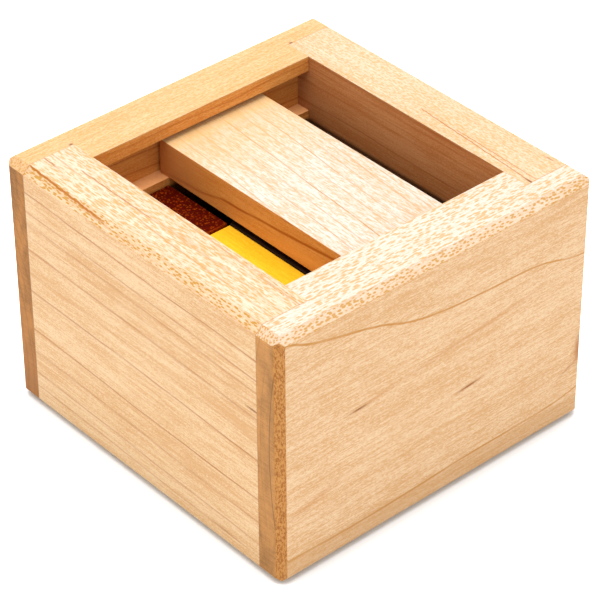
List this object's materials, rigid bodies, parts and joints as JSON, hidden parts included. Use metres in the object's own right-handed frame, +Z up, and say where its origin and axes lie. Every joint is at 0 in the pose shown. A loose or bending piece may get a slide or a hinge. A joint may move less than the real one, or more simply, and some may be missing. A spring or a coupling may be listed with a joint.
{
  "type": "wooden puzzle box",
  "caption": "Open-topped rabbeted maple box with a sliding bar in side grooves, over a two-layer packing of coloured hardwood puzzle pieces.",
  "frame": {"origin": "centre of the underside of the box", "axes": "+Z up, out of the open top; the slider bar runs in its grooves along Y and spans the box along X; the longest side is along X"},
  "size_m": [0.0832, 0.0824, 0.0594],
  "materials": {
    "maple": "sanded and oiled",
    "maple_floor": "sanded and oiled",
    "maple_bar": "sanded and oiled",
    "padauk": "sanded and oiled",
    "yellowheart": "sanded and oiled",
    "wenge": "sanded and oiled",
    "walnut": "sanded and oiled"
  },
  "bodies": {
    "case": {"front_wall": "maple", "back_wall": "maple", "left_wall": "maple", "right_wall": "maple", "floor_panel": "maple_floor"},
    "bar": {"slider_bar": "maple_bar"},
    "padauk_piece": {"padauk_upright": "padauk", "padauk_foot": "padauk"},
    "yellowheart_piece": {"yellowheart_stick": "yellowheart", "yellowheart_cube": "yellowheart"},
    "wenge_domino_piece": {"wenge_domino": "wenge"},
    "wenge_back_piece": {"wenge_back_stick": "wenge", "wenge_back_upright": "wenge"},
    "walnut_piece": {"walnut_long_stick": "walnut", "walnut_short_stick": "walnut"}
  },
  "joints": [
    {"name": "bar_slide", "type": "slide", "parent": "case", "child": "bar", "axis": [0, 1, 0], "range_m": [-0.0187, 0.0114]},
    {"name": "padauk_lift", "type": "slide", "parent": "case", "child": "padauk_piece", "axis": [0, 0, 1], "range_m": [0, 0.055]},
    {"name": "yellowheart_lift", "type": "slide", "parent": "padauk_piece", "child": "yellowheart_piece", "axis": [0, 0, 1], "range_m": [0, 0.055]},
    {"name": "walnut_lift", "type": "slide", "parent": "case", "child": "walnut_piece", "axis": [0, 0, 1], "range_m": [0, 0.0006]},
    {"name": "wenge_domino_slide", "type": "slide", "parent": "walnut_piece", "child": "wenge_domino_piece", "axis": [1, 0, 0], "range_m": [-0.0186, 0]},
    {"name": "wenge_back_lift", "type": "slide", "parent": "walnut_piece", "child": "wenge_back_piece", "axis": [0, 0, 1], "range_m": [0, 0.0006]}
  ]
}
